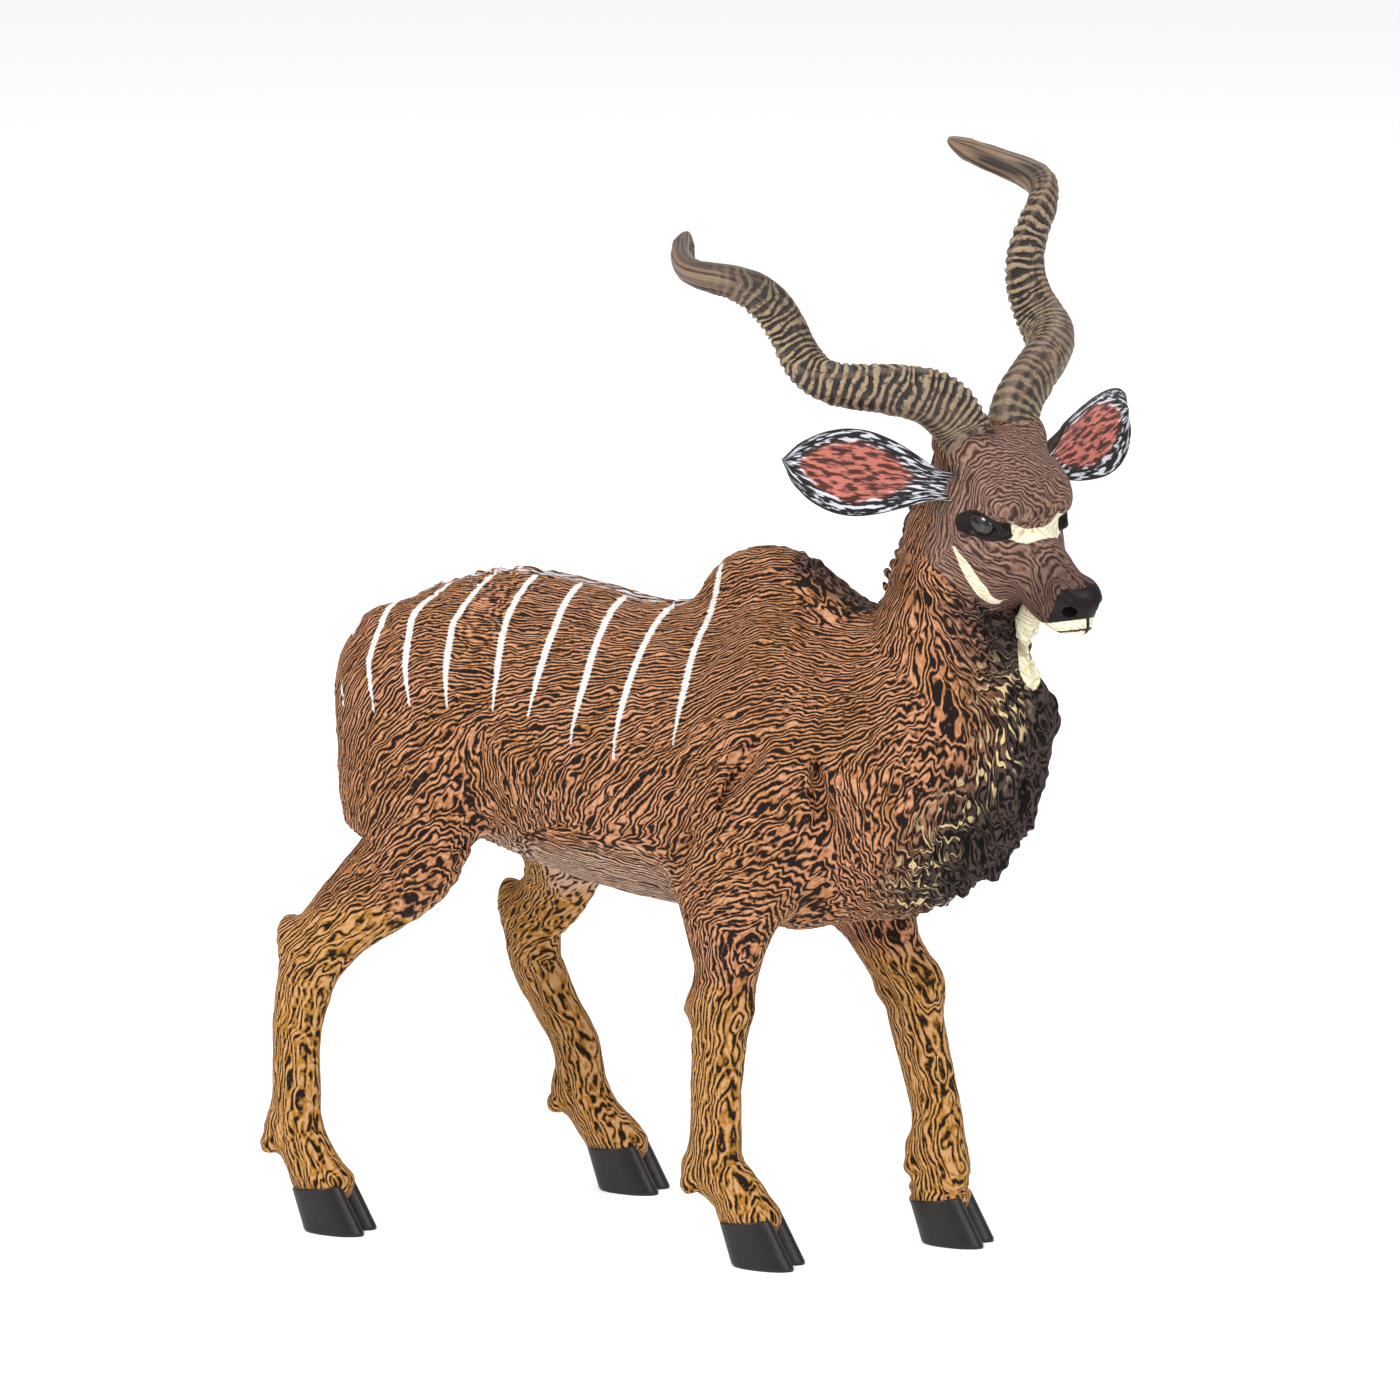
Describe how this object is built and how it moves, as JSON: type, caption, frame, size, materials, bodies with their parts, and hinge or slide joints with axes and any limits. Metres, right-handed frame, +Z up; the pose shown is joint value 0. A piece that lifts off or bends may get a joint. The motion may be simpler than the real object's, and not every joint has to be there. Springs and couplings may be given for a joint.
{
  "type": "animal figurine",
  "caption": "Standing greater kudu bull figure in hand-painted moulded plastic, with spiral horns, a throat mane and its head turned to one side.",
  "frame": {"origin": "middle of the bounding box, on the ground plane under the hooves", "axes": "+X the way the animal faces, +Y its left side, +Z up"},
  "size_m": [0.123, 0.0584, 0.1592],
  "materials": {
    "body_coat": "hand-painted matt, brown with lighter dry-brushed fur ridges and thin white stripes",
    "head_coat": "hand-painted matt, dark brown face with white marks",
    "leg_coat": "hand-painted matt, ochre legs with gloss black hooves",
    "horn_paint": "hand-painted satin, grey-brown with lighter ridges",
    "ear_paint": "hand-painted matt, pink inside and dark brown outside"
  },
  "bodies": {
    "root": {"trunk": "body_coat", "head_and_neck": "head_coat", "horn_left": "horn_paint", "horn_right": "horn_paint", "ear_left": "ear_paint", "ear_right": "ear_paint", "foreleg_left": "leg_coat", "foreleg_right": "leg_coat", "hindleg_left": "leg_coat", "hindleg_right": "leg_coat", "tail": "body_coat"}
  },
  "joints": []
}
